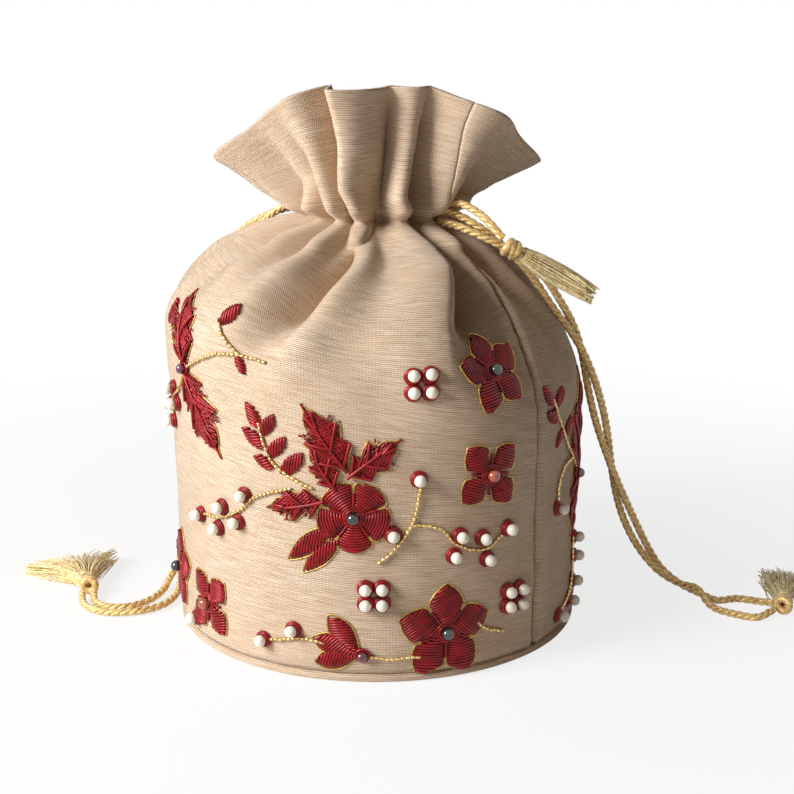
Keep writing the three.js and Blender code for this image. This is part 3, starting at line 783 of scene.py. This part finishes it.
        for k in range(petals):
            heading = first + k * 360 / petals
            lean = 90 if not slant else 90 - slant * (1 if k % 2 else -1)
            bow = 0.035 if not slant else 0.0
            self.satin(place, heading, radius, half_width, lean, 0.9, bow, start=BEAD_RADIUS + 0.6)
            self.edge(place, heading, radius, half_width, start=radius * 0.45)
            between = np.c_[np.linspace(BEAD_RADIUS, widest * 0.98, 6), np.zeros(6)]
            self.strand(self.lay(place, between, heading + 180 / petals, 0.7), WIRE_RADIUS, WIRE)
        self.ring(place, BEAD_RADIUS + 1.3, 0.9)
        self.bead(place, bead)

    def petal(self, place, heading, length):
        """One pointed petal of laid wire."""
        def half_width(u):
            return length * 0.23 * np.sin(math.pi * np.clip(u, 0, 1) ** 1.3) ** 0.75

        self.satin(place, heading, length, half_width, 60, 0.8, start=1.0)
        self.edge(place, heading, length, half_width)

    def leaf(self, base, tip, edged=False):
        """A small leaf of slanted wire."""
        length, heading = self.span(base, tip)

        def half_width(u):
            return length * (0.165 if edged else 0.235) * np.sin(math.pi * np.clip(u, 0, 1) ** 0.9) ** 0.8

        self.satin(base, heading, length, half_width, 38, 0.7)
        if edged:
            self.edge(base, heading, length, half_width)

    def cut_leaf(self, base, tip):
        """A large leaf with a saw-tooth edge: laid wire, chopped wire over it, veins and a gold edge."""
        length, heading = self.span(base, tip)

        def half_width(u):
            u = np.clip(u, 0, 1)
            body = length * 0.27 * np.sin(math.pi * u**0.85) ** 0.8
            tooth = (u * 3 + 0.1) % 1
            return body * (0.42 + 0.8 * tooth * (tooth < 0.92)) * (1 - 0.55 * ease((u - 0.72) / 0.28))

        for side in (1, -1):
            self.chopped(base, heading, length, half_width, side)
            for u, out in ((0.05, 0.27), (0.34, 0.6), (0.68, 0.9)):
                ends = np.array([[u * length, 0], [out * length, side * half_width(np.array(out)) * 0.92]])
                line = np.linspace(ends[0], ends[1], 5)
                lift = np.array([1.5, 1.65, 1.6, 1.35, 0.9])
                self.strand(self.lay(base, line, heading, lift), 0.58, WIRE)
        self.satin(base, heading, length, half_width, 32, 0.55)
        self.edge(base, heading, length, half_width)
        rib = np.c_[np.linspace(-0.04, 1.07, 12) * length, 0.5 * np.sin(np.linspace(0, 3, 12))]
        lift = 1.7 - 1.3 * np.linspace(0, 1, 12) ** 3
        self.strand(self.lay(base, rib, heading, lift), np.linspace(0.76, 0.36, 12), WIRE)

    def chopped(self, base, heading, length, half_width, side):
        """Short cut bits of wire over one half of a leaf."""
        for u in np.arange(0.08, 0.9, 1.5 / length):
            width = float(half_width(np.array(u)))
            for s in np.arange(0.9, width - 0.3, 1.4):
                t = u * length + 0.5 * s + self.dice.uniform(-0.3, 0.3)
                turn = math.radians(self.dice.uniform(10, 70)) * side
                bit = np.array([[-0.65, 0], [0, 0], [0.65, 0]])
                spun = np.c_[bit[:, 0] * math.cos(turn), bit[:, 0] * math.sin(turn)]
                middle = np.array([t, side * (s + self.dice.uniform(-0.25, 0.25))])
                lift = 0.85 + self.dice.uniform(0, 0.25)
                self.strand(self.lay(base, spun + middle, heading, lift), 0.42, WIRE)

    def span(self, base, tip):
        """Length in millimetres and heading in degrees between two places."""
        right = math.radians(tip[0] - base[0]) * BODY_RADIUS
        up = tip[1] - base[1]
        return math.hypot(right, up), math.degrees(math.atan2(up, right))


def centre_spray(m):
    """Round flower with four cut leaves and two small ones."""
    m.cut_leaf((-7.8, 78), (-18.6, 99.5))
    m.cut_leaf((-10.7, 71.3), (-16.8, 85.5))
    m.cut_leaf((-7, 75.5), (5.4, 88))
    m.cut_leaf((-14, 66), (-28.5, 61.5))
    m.leaf((-12, 56), (-23, 43), edged=True)
    m.leaf((-10, 52), (-19, 39), edged=True)
    m.flower((-6, 60.5), 13, 5, -90, GREEN)


def shoulder_flower(m):
    """Star flower on the shoulder."""
    m.flower((33, 111), 16, 5, 100, GREEN, slant=35)


def side_flower(m):
    """Four-petalled flower beside the seam."""
    m.flower((30, 73), 14, 4, 40, AMBER, slant=30)


def base_spray(m):
    """Star flower and half-open bud at the foot."""
    m.flower((18, 15), 18, 5, 88, GREEN, slant=32)
    m.stem((27, 17), (29, 14), (36, 10))
    m.stem((-2, 7.5), (2, 6.5), (11, 7))
    m.petal((-5, 9), 128, 17)
    m.petal((-5, 8.5), 163, 17)
    m.petal((-5, 8), 194, 16)
    m.bead((-4, 8), PURPLE, 2.0)
    m.stem((-14, 12), (-21, 12.5), (-27, 10.5), (-30, 10))
    m.pearl(-22.5, 15.5)
    m.pearl(-31.5, 9.5)


def left_flower(m):
    """Four-petalled flower at the left foot."""
    m.flower((-53, 16), 14, 4, 45, AMBER, slant=30)
    m.pearl(-60, 6.5)


def edge_flower(m):
    """Star flower round the left side."""
    m.flower((-76, 20), 15.5, 5, 90, GREEN, slant=32)


def leaf_pair(m):
    """Two cut leaves with a branching stem."""
    m.stem((-59, 106), (-53, 110), (-44, 115), (-37, 116), (-29, 115))
    m.stem((-37, 116), (-41, 120.5), (-43, 124), (-44, 127))
    m.leaf((-44, 126), (-38.5, 135))
    m.leaf((-38, 116), (-35, 109))
    m.stem((-59, 106), (-66, 112), (-68, 116.5), (-70, 120))
    m.leaf((-70, 119), (-72, 131))
    m.stem((-59, 106), (-65, 96), (-70, 91), (-72, 84))
    m.cut_leaf((-59, 107), (-65, 137))
    m.cut_leaf((-59, 105), (-46, 77))
    m.bead((-59, 106), PURPLE, 2.0)
    for place in ((-70, 95), (-67, 90), (-73, 88), (-72.5, 81.5)):
        m.pearl(*place)


def leaf_sprig(m):
    """Sprig of small leaves."""
    m.stem((-31.4, 92.4), (-29.4, 83.4), (-26.4, 77.4), (-16.4, 70.4))
    m.leaf((-30.9, 89.4), (-35.4, 99.4))
    m.leaf((-30.9, 87.4), (-26.4, 96.4))
    m.leaf((-29.4, 83.4), (-36.9, 89.4))
    m.leaf((-28.9, 79.9), (-23.4, 88.4))
    m.leaf((-24.9, 74.4), (-18.4, 83.4))
    m.leaf((-26.9, 76.4), (-33.4, 79.9))


def pearl_branch_left(m):
    """Branch of pearls left of the round flower."""
    m.stem((-54, 51), (-45, 53), (-38, 58), (-33, 64), (-22, 70))
    for place in ((-36.5, 64), (-45, 57), (-56, 50), (-39, 53), (-47, 48)):
        m.pearl(*place)


def pearl_branch_right(m):
    """Branch of pearls right of the round flower."""
    m.stem((0, 43), (5, 49), (9, 58), (11, 71))
    m.stem((9, 57), (16, 55), (20, 49), (24, 46), (29, 45), (34, 49))
    for place in ((10.5, 74), (4, 53.5), (21.5, 51.5), (28, 49.5), (36, 51), (20, 44), (29.5, 41)):
        m.pearl(*place)


def pearl_cluster_upper(m):
    """Four pearls below the shoulder."""
    m.cluster(11, 108.5)


def pearl_cluster_lower(m):
    """Four pearls below the round flower."""
    m.cluster(-1, 31)


def pearl_cluster_side(m):
    """Four pearls near the seam."""
    m.cluster(39, 23)


def seam_sprig(m):
    """Leaves and stem beyond the seam."""
    m.stem((-126, 95), (-122, 86), (-116, 76), (-108, 66), (-104, 60))
    m.leaf((-125, 92), (-130, 101))
    m.leaf((-124.5, 90), (-119, 98))
    m.leaf((-122, 86), (-129, 90))
    m.leaf((-119, 81), (-123, 75))
    m.leaf((-116.5, 76), (-111, 84))
    m.cut_leaf((-104, 58), (-99, 97))
    m.cut_leaf((-104, 58), (-108, 35))
    m.stem((-108, 66), (-116, 65), (-120, 60), (-121, 53))
    m.bead((-104, 58), PURPLE, 2.0)
    m.pearl(-121, 50.5)


def pearl_branch_seam(m):
    """Branch of pearls beyond the seam."""
    m.stem((-105, 32), (-106, 22), (-111, 14), (-119, 8))
    for place in ((-103, 31), (-103.5, 23.5), (-107.5, 15), (-112, 9), (-120, 6.5)):
        m.pearl(*place)


DESIGN = [
    centre_spray, shoulder_flower, side_flower, base_spray, left_flower, edge_flower, leaf_pair, leaf_sprig,
    pearl_branch_left, pearl_branch_right, pearl_cluster_upper, pearl_cluster_lower, pearl_cluster_side,
    seam_sprig, pearl_branch_seam,
]


# Settings

class PotliClothSettings(bpy.types.PropertyGroup):
    """Cloth of the bag."""

    thickness: bpy.props.FloatProperty(
        name="Cloth", description="Thickness of the lined cloth", default=CLOTH * MM, unit="LENGTH"
    )
    columns: bpy.props.IntProperty(name="Columns", description="Mesh columns across a panel", default=250)
    rows: bpy.props.IntProperty(name="Rows", description="Mesh rows up a panel", default=170)


class PotliCordSettings(bpy.types.PropertyGroup):
    """Cords and tassels."""

    diameter: bpy.props.FloatProperty(
        name="Cord", description="Diameter of a cord strand", default=CORD_DIAMETER * MM, unit="LENGTH"
    )
    threads: bpy.props.IntProperty(name="Threads", description="Threads in a tassel", default=420)


class PotliStageSettings(bpy.types.PropertyGroup):
    """Camera, floor and light."""

    lens: bpy.props.FloatProperty(
        name="Lens", description="Focal length of the camera in millimetres", default=70.11
    )
    key_power: bpy.props.FloatProperty(
        name="Key", description="Power of the soft light on the left", default=17.5, subtype="POWER"
    )
    fill_power: bpy.props.FloatProperty(
        name="Fill", description="Power of the weak light on the right", default=0.25, subtype="POWER"
    )
    sky: bpy.props.FloatProperty(name="Sky", description="Strength of the light all round", default=0.05)


# Operators

class POTLI_OT_stage(bpy.types.Operator):
    """Set the camera, the pale floor and the soft studio light."""

    bl_idname = "potli.stage"
    bl_label = "Stage"

    def execute(self, context):
        settings = context.scene.potli_stage
        self.add_camera(context, settings)
        self.add_floor()
        self.add_lamp("soft_key", (-0.83, -0.48, 0.56), 0.55, settings.key_power, "#ffffff")
        self.add_lamp("weak_fill", (0.8, -0.6, 0.4), 0.8, settings.fill_power, "#ffe9d6")
        self.add_sky(context, settings)
        context.scene.view_settings.view_transform = "Standard"
        return {"FINISHED"}

    def add_camera(self, context, settings):
        data = bpy.data.cameras.new("camera")
        data.lens = settings.lens
        data.sensor_width = 36
        camera = bpy.data.objects.new("camera", data)
        camera.location = (0, -0.6, 0.2404)
        camera.rotation_euler = (math.radians(90 - 14.33), 0, math.radians(-0.76))
        context.collection.objects.link(camera)
        context.scene.camera = camera

    def add_floor(self):
        shape = bmesh.new()
        bmesh.ops.create_grid(shape, x_segments=1, y_segments=1, size=4)
        floor = bpy.data.objects.new("floor", finished(shape, "floor"))
        floor.location = (0, 0, -0.0002)
        material, tree, shader = new_material("matt white board", roughness=0.9, specular_ior_level=0.1)
        place = add_node(tree, "ShaderNodeTexCoord").outputs["Object"]
        noise = add_node(tree, "ShaderNodeTexNoise", {"Vector": place, "Scale": 6.0}).outputs["Fac"]
        ramp = add_node(tree, "ShaderNodeValToRGB", {"Fac": noise})
        ramp.color_ramp.elements[0].color = colour("#f1efec")
        ramp.color_ramp.elements[1].color = colour("#f7f5f2")
        tree.links.new(ramp.outputs["Color"], shader.inputs["Base Color"])
        glow = add_node(tree, "ShaderNodeEmission", {"Strength": 1.0}).outputs["Emission"]
        far = add_node(tree, "ShaderNodeVectorMath", {0: place}, operation="LENGTH").outputs["Value"]
        share = add_node(
            tree, "ShaderNodeMapRange", {"Value": far, "From Min": 0.12, "From Max": 0.45, "To Min": 0.8}
        ).outputs[0]
        seen = seen_rays(tree)
        share = add_node(tree, "ShaderNodeMath", {0: share, 1: seen}, operation="MULTIPLY").outputs[0]
        mix = add_node(tree, "ShaderNodeMixShader", {0: share, 1: shader.outputs["BSDF"], 2: glow})
        tree.links.new(mix.outputs["Shader"], tree.nodes["Material Output"].inputs["Surface"])
        floor.data.materials.append(material)
        bpy.context.collection.objects.link(floor)

    def add_lamp(self, name, place, size, power, tint):
        data = bpy.data.lights.new(name, "AREA")
        data.shape = "DISK"
        data.size = size
        data.energy = power
        data.color = colour(tint)[:3]
        lamp = bpy.data.objects.new(name, data)
        lamp.location = place
        lamp.rotation_euler = (Vector((0, 0, 0.1)) - Vector(place)).to_track_quat("-Z", "Y").to_euler()
        bpy.context.collection.objects.link(lamp)

    def add_sky(self, context, settings):
        world = bpy.data.worlds.new("white surround")
        world.use_nodes = True
        tree = world.node_tree
        background = tree.nodes["Background"]
        seen = seen_rays(tree)
        tint = add_node(
            tree, "ShaderNodeMix", {0: seen, 6: colour("#ffdcb8"), 7: colour("#ffffff")}, data_type="RGBA"
        ).outputs[2]
        tree.links.new(tint, background.inputs["Color"])
        strength = add_node(
            tree, "ShaderNodeMapRange", {"Value": seen, "To Min": settings.sky, "To Max": 1.0}
        ).outputs[0]
        tree.links.new(strength, background.inputs["Strength"])
        context.scene.world = world


class POTLI_OT_cords(bpy.types.Operator):
    """Lay the drawstring's free ends with their knots and tassels."""

    bl_idname = "potli.cords"
    bl_label = "Cords"

    def execute(self, context):
        silk, loose = cord_silk(), tassel_silk()
        routes = {
            "right_strand_a": self.route(RIGHT_LINE, RIGHT_TAILS[0], 0),
            "right_strand_b": self.route(RIGHT_LINE, RIGHT_TAILS[1], math.pi),
            "left_strand_a": self.route(LEFT_LINE, LEFT_TAILS[0], 0),
            "left_strand_b": self.route(LEFT_LINE, LEFT_TAILS[1], math.pi),
            "shoulder_strand": spline(SHORT_LINE, 1.2),
        }
        ends = {side: self.add_end(context, side, silk, loose) for side in TASSELS}
        for name, path in routes.items():
            self.add_strand(context, name, path, silk, ends[name.split("_")[0]])
        return {"FINISHED"}

    def route(self, line, tail, phase):
        """Centreline of one strand twisted loosely round a line, then laid along its tail."""
        middle = spline(line, CORD_STEP / 2)
        _, side, above = frames_along(middle, (0, 1, 0))
        run = np.linspace(0, line_length(spline(line, 1)), len(middle))
        turn = (2 * math.pi * run / TWIST_LENGTH + phase)[:, None]
        reach = (CORD_DIAMETER + TWIST_GAP) / 2
        twisted = middle + reach * (side * np.cos(turn) + above * np.sin(turn))
        return spline(np.vstack([twisted, tail]), 1.2)

    def add_strand(self, context, name, path, silk, end):
        """Three plies twisted into one strand."""
        diameter = context.scene.potli_cords.diameter / MM
        fine = spaced(path, 0.8)
        _, side, above = frames_along(fine, (0.31, 0.9, 0.3))
        run = np.linspace(0, line_length(fine), len(fine))
        ply = diameter * 0.265
        work = Wirework()
        for k in range(3):
            turn = (2 * math.pi * (run / PLY_TURN + k / 3))[:, None]
            work.strand(fine + (diameter / 2 - ply) * (side * np.cos(turn) + above * np.sin(turn)), ply)
        piece = add_piece(f"{name}_cord", work.mesh(name, sides=10), [silk], [name])

    def add_end(self, context, side, silk, loose):
        """A knot of cord and a tassel of loose threads."""
        knot_at, tip, spread = TASSELS[side]
        knot_at = np.array(knot_at, dtype=float)
        along = np.array(tip) - knot_at
        along /= np.linalg.norm(along)
        across = np.cross(along, (0, 0, 1))
        across /= np.linalg.norm(across)
        above = np.cross(across, along)
        work = Wirework()
        for lean, shift in ((0.5, -1.2), (-0.6, 0.6), (0.15, 1.6)):
            turn = np.linspace(0, 2 * math.pi, 28, endpoint=False)[:, None]
            hoop = across * np.cos(turn) + above * np.sin(turn)
            tilt = along * lean * np.sin(turn + shift)
            work.strand(knot_at + along * shift + 2.4 * (hoop + tilt), 1.5, closed=True)
        knot = add_piece(
            f"{side}_knot_cord", work.mesh(f"{side}_knot", 10), [silk], [f"{side}_knot"]
        )
        fringe = self.threads(context, side, knot_at, along, across, above, spread)
        tassel = add_piece(
            f"{side}_tassel_threads",
            fringe.mesh(f"{side}_tassel", 4),
            [loose],
            [f"{side}_tassel"],
        )
        return [knot, tassel]

    def threads(self, context, side, knot_at, along, across, above, spread):
        """Loose threads that fan out from a bound head."""
        dice = random.Random(side)
        work = Wirework()
        head = knot_at + along * (KNOT_RADIUS - 0.6)
        for turn in range(3):
            angle = np.linspace(0, 2 * math.pi, 16, endpoint=False)[:, None]
            band = head + along * (2.2 + turn * 0.9)
            work.strand(band + 2.7 * (across * np.cos(angle) + above * np.sin(angle)), 0.5, closed=True)
        t = np.linspace(0, 1, 8)[:, None]
        for _ in range(context.scene.potli_cords.threads):
            aside = dice.uniform(-1, 1)
            upward = dice.uniform(-1, 1)
            length = TASSEL_LENGTH * dice.uniform(0.8, 1.04) * (1 - 0.1 * abs(aside))
            curl = dice.uniform(-1.6, 1.6)
            flare = t**1.25
            line = head + along * length * t
            out = aside * (2.2 + (TASSEL_SKIRT * spread - 2.2) * flare)
            line = line + across * (out + curl * np.sin(4 * t))
            line = line + above * upward * (2.2 + (TASSEL_HEAD - 1.4) * np.sin(2.6 * t))
            line = line - np.array([0, 0, 1.0]) * 1.5 * t**2
            line[:, 2] = np.maximum(line[:, 2], 0.3)
            work.strand(line, 0.19)
        return work


class POTLI_OT_cloth(bpy.types.Operator):
    """Gather the two cloth panels."""

    bl_idname = "potli.cloth"
    bl_label = "Cloth"

    def execute(self, context):
        silk = silk_tissue()
        for name, start in (("front_panel", SEAM_ANGLE - 180), ("back_panel", SEAM_ANGLE)):
            piece = add_piece(f"{name}_silk", self.panel(context, name, start), [silk], [name])
            lining = piece.modifiers.new("lined cloth", "SOLIDIFY")
            lining.thickness = context.scene.potli_cloth.thickness
            lining.offset = -1
        return {"FINISHED"}

    def panel(self, context, name, start):
        """A grid bent and gathered round the bag."""
        settings = context.scene.potli_cloth
        columns, rows = settings.columns, settings.rows
        shape = bmesh.new()
        bmesh.ops.create_grid(shape, x_segments=columns, y_segments=rows, size=0.5)
        flat = np.array([vertex.co[:2] for vertex in shape.verts]) + 0.5
        edge = math.degrees(0.01 / NECK_RADIUS)
        angle = start + edge + flat[:, 0] * (180 - 2 * edge)
        level = np.interp(flat[:, 1], [0, 0.2, 0.52, 0.74, 1], [0, 0.9, 1.72, 2.2, 3])
        places = cloth_points(angle, level)
        for vertex, place in zip(shape.verts, places):
            vertex.co = Vector(place) * MM
        self.lay_weave(shape, angle, level)
        inner = [vertex for vertex in shape.verts if not vertex.is_boundary]
        bmesh.ops.smooth_vert(
            shape, verts=inner, factor=0.5, use_axis_x=True, use_axis_y=True, use_axis_z=True
        )
        shape.normal_update()
        wall = min(shape.faces, key=lambda face: face.calc_center_median().z)
        if wall.normal.dot(wall.calc_center_median()) < 0:
            bmesh.ops.reverse_faces(shape, faces=shape.faces[:])
        return finished(shape, name)

    def lay_weave(self, shape, angle, level):
        """Cloth coordinates in metres along and up the uncut cloth."""
        steps = np.linspace(0, 3, 121)
        radius, height = outline(np.zeros(121), steps)
        run = np.concatenate([[0], np.cumsum(np.hypot(np.diff(radius), np.diff(height)))])
        up = np.interp(level, steps, run) * MM
        across = np.radians(angle) * BODY_RADIUS * MM
        weave = shape.loops.layers.uv.new("cloth")
        shape.verts.index_update()
        for face in shape.faces:
            for corner in face.loops:
                index = corner.vert.index
                corner[weave].uv = (across[index], up[index])


class POTLI_OT_base(bpy.types.Operator):
    """Make the round base with its rolled edge, and finish the board inside."""

    bl_idname = "potli.base"
    bl_label = "Base"

    def execute(self, context):
        shape = bmesh.new()
        bmesh.ops.create_circle(shape, cap_ends=True, segments=144, radius=BODY_RADIUS * MM)
        faces = bmesh.ops.extrude_face_region(shape, geom=shape.faces[:])
        raised = [item for item in faces["geom"] if isinstance(item, bmesh.types.BMVert)]
        bmesh.ops.translate(shape, verts=raised, vec=(0, 0, BASE_TOP * MM))
        bmesh.ops.recalc_face_normals(shape, faces=shape.faces[:])
        rims = [edge for edge in shape.edges if abs(edge.verts[0].co.z - edge.verts[1].co.z) < 1e-6]
        bmesh.ops.bevel(
            shape, geom=rims, offset=1.2 * MM, segments=4, profile=0.5, affect="EDGES", material=-1
        )
        weave = shape.loops.layers.uv.new("cloth")
        for face in shape.faces:
            for corner in face.loops:
                x, y, z = corner.vert.co
                if abs(face.normal.z) > 0.9:
                    corner[weave].uv = (x, y)
                else:
                    corner[weave].uv = (math.atan2(x, -y) * BODY_RADIUS * MM, z)
        silk = bpy.data.materials["silk tissue"]
        add_piece("base_panel_silk", finished(shape, "base_panel"), [silk], ["base_panel"])
        board = next(item for item in bpy.data.objects if item.get("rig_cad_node") == "base_board")
        # Stiff board under a plain lining: dull, slightly mottled
        lining = speckled("lined board", "#9c8c74", "#b09f86", 220, 0.2, roughness=0.85)
        board.data.materials.clear()
        board.data.materials.append(lining)
        return {"FINISHED"}


class POTLI_OT_embroidery(bpy.types.Operator):
    """Sew the wire flowers, leaves, stems and pearls on both panels."""

    bl_idname = "potli.embroidery"
    bl_label = "Embroidery"

    def execute(self, context):
        materials = embroidery_materials()
        for side, turn in (("front", 0), ("back", 180)):
            for draw in DESIGN:
                name = f"{side}_{draw.__name__}"
                motif = Motif(name, turn)
                draw(motif)
                add_piece(f"{name}_work", motif.mesh(name), materials, [name])
        return {"FINISHED"}


class POTLI_PT_sidebar(bpy.types.Panel):
    """Steps and settings of the bag."""

    bl_idname = "POTLI_PT_sidebar"
    bl_label = "Potli Bag"
    bl_space_type = "VIEW_3D"
    bl_region_type = "UI"
    bl_category = "Potli"

    def draw(self, context):
        for step in STEPS:
            self.layout.operator(step.bl_idname)
        for group in (context.scene.potli_cloth, context.scene.potli_cords, context.scene.potli_stage):
            for name in group.bl_rna.properties.keys():
                if name not in {"rna_type", "name"}:
                    self.layout.prop(group, name)


SETTINGS = {
    "potli_cloth": PotliClothSettings,
    "potli_cords": PotliCordSettings,
    "potli_stage": PotliStageSettings,
}
STEPS = (POTLI_OT_stage, POTLI_OT_cords, POTLI_OT_cloth, POTLI_OT_base, POTLI_OT_embroidery)


def register():
    """Register the settings, steps and sidebar."""
    for cls in (*SETTINGS.values(), *STEPS, POTLI_PT_sidebar):
        bpy.utils.register_class(cls)
    for name, cls in SETTINGS.items():
        setattr(bpy.types.Scene, name, bpy.props.PointerProperty(type=cls))


def unregister():
    """Remove them in turn."""
    for name in SETTINGS:
        delattr(bpy.types.Scene, name)
    for cls in (POTLI_PT_sidebar, *reversed(STEPS), *SETTINGS.values()):
        bpy.utils.unregister_class(cls)


def main():
    """Build the bag step by step."""
    register()
    bpy.ops.potli.stage()
    bpy.ops.potli.cords()
    bpy.ops.potli.cloth()
    bpy.ops.potli.base()
    bpy.ops.potli.embroidery()


if __name__ == "__main__":
    main()
